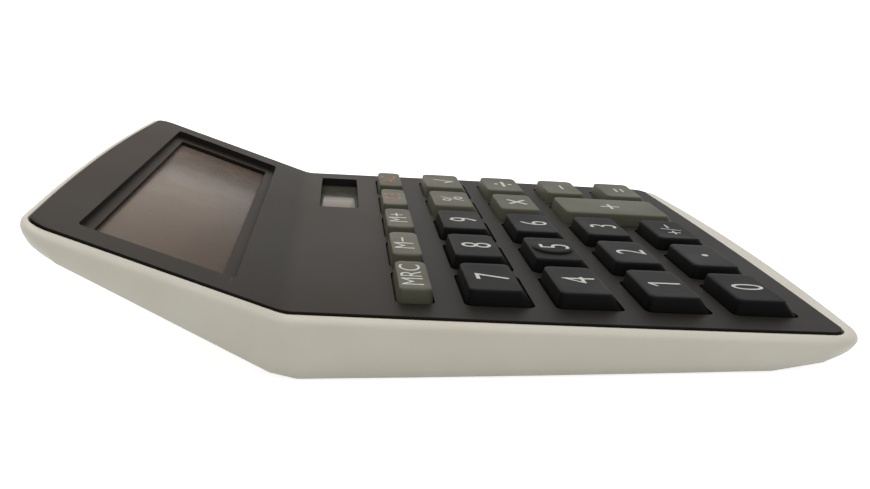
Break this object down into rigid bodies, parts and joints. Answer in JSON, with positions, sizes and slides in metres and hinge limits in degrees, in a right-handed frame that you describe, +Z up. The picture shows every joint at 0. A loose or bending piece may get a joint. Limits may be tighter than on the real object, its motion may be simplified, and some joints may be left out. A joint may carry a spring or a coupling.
{
  "type": "desktop calculator",
  "caption": "Low wedge-shaped desktop calculator with a raised display at the rear, a solar window, a grid of sprung keys and a sliding battery door in the base.",
  "frame": {"origin": "under the middle of the calculator's length and width, on the surface that its feet stand on", "axes": "+Z up, +Y from the front edge towards the display, +X to the user's right"},
  "size_m": [0.1032, 0.1254, 0.0248],
  "materials": {
    "white_case": "moulded off-white ABS, fine satin texture",
    "dark_panel": "moulded near-black ABS, semi-gloss",
    "black_key": "moulded black ABS, soft satin",
    "olive_key": "moulded olive-grey ABS, soft satin",
    "display_glass": "polished glass over a taupe reflector",
    "solar_pane": "clear smoked window",
    "solar_glass": "amorphous silicon cell on glass",
    "rubber_sheet": "silicone rubber",
    "board": "solder-masked laminate",
    "chip_epoxy": "poured black epoxy",
    "diode_glass": "red glass body",
    "film": "amber polyester film",
    "bright_steel": "nickel-plated steel",
    "screw_steel": "zinc-plated steel",
    "contact_brass": "bare phosphor bronze leaf",
    "foot_rubber": "die-cut rubber",
    "red_wire": "PVC insulation",
    "black_wire": "PVC insulation"
  },
  "bodies": {
    "case": {"lower_case": "white_case", "top_panel": "dark_panel", "keypad_sheet": "rubber_sheet", "main_board": "board", "chip_cover": "chip_epoxy", "capacitor": "bright_steel", "regulator_diode": "diode_glass", "display_cell": "display_glass", "display_ribbon": "film", "solar_window": "solar_pane", "solar_cell": "solar_glass", "button_cell": "bright_steel", "contact_minus": "contact_brass", "contact_plus": "contact_brass", "case_screw_rear_left": "screw_steel", "case_screw_rear_right": "screw_steel", "case_screw_middle": "screw_steel", "foot_front_left": "foot_rubber", "foot_front_right": "foot_rubber", "foot_rear_left": "foot_rubber", "foot_rear_right": "foot_rubber", "battery_wire_minus": "black_wire", "battery_wire_plus": "red_wire", "solar_wire_minus": "black_wire", "solar_wire_plus": "red_wire"},
    "key_mrc": {"key_mrc": "olive_key"},
    "key_m_minus": {"key_m_minus": "olive_key"},
    "key_m_plus": {"key_m_plus": "olive_key"},
    "key_clear_entry": {"key_clear_entry": "olive_key"},
    "key_all_clear": {"key_all_clear": "olive_key"},
    "key_7": {"key_7": "black_key"},
    "key_8": {"key_8": "black_key"},
    "key_9": {"key_9": "black_key"},
    "key_percent": {"key_percent": "olive_key"},
    "key_root": {"key_root": "olive_key"},
    "key_4": {"key_4": "black_key"},
    "key_5": {"key_5": "black_key"},
    "key_6": {"key_6": "black_key"},
    "key_multiply": {"key_multiply": "olive_key"},
    "key_divide": {"key_divide": "olive_key"},
    "key_1": {"key_1": "black_key"},
    "key_2": {"key_2": "black_key"},
    "key_3": {"key_3": "black_key"},
    "key_plus": {"key_plus": "olive_key"},
    "key_minus": {"key_minus": "olive_key"},
    "key_0": {"key_0": "black_key"},
    "key_point": {"key_point": "black_key"},
    "key_sign": {"key_sign": "black_key"},
    "key_equals": {"key_equals": "olive_key"},
    "battery_door": {"battery_door": "white_case"}
  },
  "joints": [
    {"name": "press_mrc", "type": "slide", "parent": "case", "child": "key_mrc", "axis": [0, -0.053, 0.9986], "range_m": [-0.00095, 0], "stiffness_N_per_m": 450, "deforming": ["keypad_sheet"]},
    {"name": "press_m_minus", "type": "slide", "parent": "case", "child": "key_m_minus", "axis": [0, -0.053, 0.9986], "range_m": [-0.00095, 0], "stiffness_N_per_m": 450, "deforming": ["keypad_sheet"]},
    {"name": "press_m_plus", "type": "slide", "parent": "case", "child": "key_m_plus", "axis": [0, -0.053, 0.9986], "range_m": [-0.00095, 0], "stiffness_N_per_m": 450, "deforming": ["keypad_sheet"]},
    {"name": "press_clear_entry", "type": "slide", "parent": "case", "child": "key_clear_entry", "axis": [0, -0.053, 0.9986], "range_m": [-0.00095, 0], "stiffness_N_per_m": 450, "deforming": ["keypad_sheet"]},
    {"name": "press_all_clear", "type": "slide", "parent": "case", "child": "key_all_clear", "axis": [0, -0.053, 0.9986], "range_m": [-0.00095, 0], "stiffness_N_per_m": 450, "deforming": ["keypad_sheet"]},
    {"name": "press_7", "type": "slide", "parent": "case", "child": "key_7", "axis": [0, -0.053, 0.9986], "range_m": [-0.00095, 0], "stiffness_N_per_m": 450, "deforming": ["keypad_sheet"]},
    {"name": "press_8", "type": "slide", "parent": "case", "child": "key_8", "axis": [0, -0.053, 0.9986], "range_m": [-0.00095, 0], "stiffness_N_per_m": 450, "deforming": ["keypad_sheet"]},
    {"name": "press_9", "type": "slide", "parent": "case", "child": "key_9", "axis": [0, -0.053, 0.9986], "range_m": [-0.00095, 0], "stiffness_N_per_m": 450, "deforming": ["keypad_sheet"]},
    {"name": "press_percent", "type": "slide", "parent": "case", "child": "key_percent", "axis": [0, -0.053, 0.9986], "range_m": [-0.00095, 0], "stiffness_N_per_m": 450, "deforming": ["keypad_sheet"]},
    {"name": "press_root", "type": "slide", "parent": "case", "child": "key_root", "axis": [0, -0.053, 0.9986], "range_m": [-0.00095, 0], "stiffness_N_per_m": 450, "deforming": ["keypad_sheet"]},
    {"name": "press_4", "type": "slide", "parent": "case", "child": "key_4", "axis": [0, -0.053, 0.9986], "range_m": [-0.00095, 0], "stiffness_N_per_m": 450, "deforming": ["keypad_sheet"]},
    {"name": "press_5", "type": "slide", "parent": "case", "child": "key_5", "axis": [0, -0.053, 0.9986], "range_m": [-0.00095, 0], "stiffness_N_per_m": 450, "deforming": ["keypad_sheet"]},
    {"name": "press_6", "type": "slide", "parent": "case", "child": "key_6", "axis": [0, -0.053, 0.9986], "range_m": [-0.00095, 0], "stiffness_N_per_m": 450, "deforming": ["keypad_sheet"]},
    {"name": "press_multiply", "type": "slide", "parent": "case", "child": "key_multiply", "axis": [0, -0.053, 0.9986], "range_m": [-0.00095, 0], "stiffness_N_per_m": 450, "deforming": ["keypad_sheet"]},
    {"name": "press_divide", "type": "slide", "parent": "case", "child": "key_divide", "axis": [0, -0.053, 0.9986], "range_m": [-0.00095, 0], "stiffness_N_per_m": 450, "deforming": ["keypad_sheet"]},
    {"name": "press_1", "type": "slide", "parent": "case", "child": "key_1", "axis": [0, -0.053, 0.9986], "range_m": [-0.00095, 0], "stiffness_N_per_m": 450, "deforming": ["keypad_sheet"]},
    {"name": "press_2", "type": "slide", "parent": "case", "child": "key_2", "axis": [0, -0.053, 0.9986], "range_m": [-0.00095, 0], "stiffness_N_per_m": 450, "deforming": ["keypad_sheet"]},
    {"name": "press_3", "type": "slide", "parent": "case", "child": "key_3", "axis": [0, -0.053, 0.9986], "range_m": [-0.00095, 0], "stiffness_N_per_m": 450, "deforming": ["keypad_sheet"]},
    {"name": "press_plus", "type": "slide", "parent": "case", "child": "key_plus", "axis": [0, -0.053, 0.9986], "range_m": [-0.00095, 0], "stiffness_N_per_m": 450, "deforming": ["keypad_sheet"]},
    {"name": "press_minus", "type": "slide", "parent": "case", "child": "key_minus", "axis": [0, -0.053, 0.9986], "range_m": [-0.00095, 0], "stiffness_N_per_m": 450, "deforming": ["keypad_sheet"]},
    {"name": "press_0", "type": "slide", "parent": "case", "child": "key_0", "axis": [0, -0.053, 0.9986], "range_m": [-0.00095, 0], "stiffness_N_per_m": 450, "deforming": ["keypad_sheet"]},
    {"name": "press_point", "type": "slide", "parent": "case", "child": "key_point", "axis": [0, -0.053, 0.9986], "range_m": [-0.00095, 0], "stiffness_N_per_m": 450, "deforming": ["keypad_sheet"]},
    {"name": "press_sign", "type": "slide", "parent": "case", "child": "key_sign", "axis": [0, -0.053, 0.9986], "range_m": [-0.00095, 0], "stiffness_N_per_m": 450, "deforming": ["keypad_sheet"]},
    {"name": "press_equals", "type": "slide", "parent": "case", "child": "key_equals", "axis": [0, -0.053, 0.9986], "range_m": [-0.00095, 0], "stiffness_N_per_m": 450, "deforming": ["keypad_sheet"]},
    {"name": "door_slide", "type": "slide", "parent": "case", "child": "battery_door", "axis": [0, 1, 0], "range_m": [0, 0.012]}
  ]
}
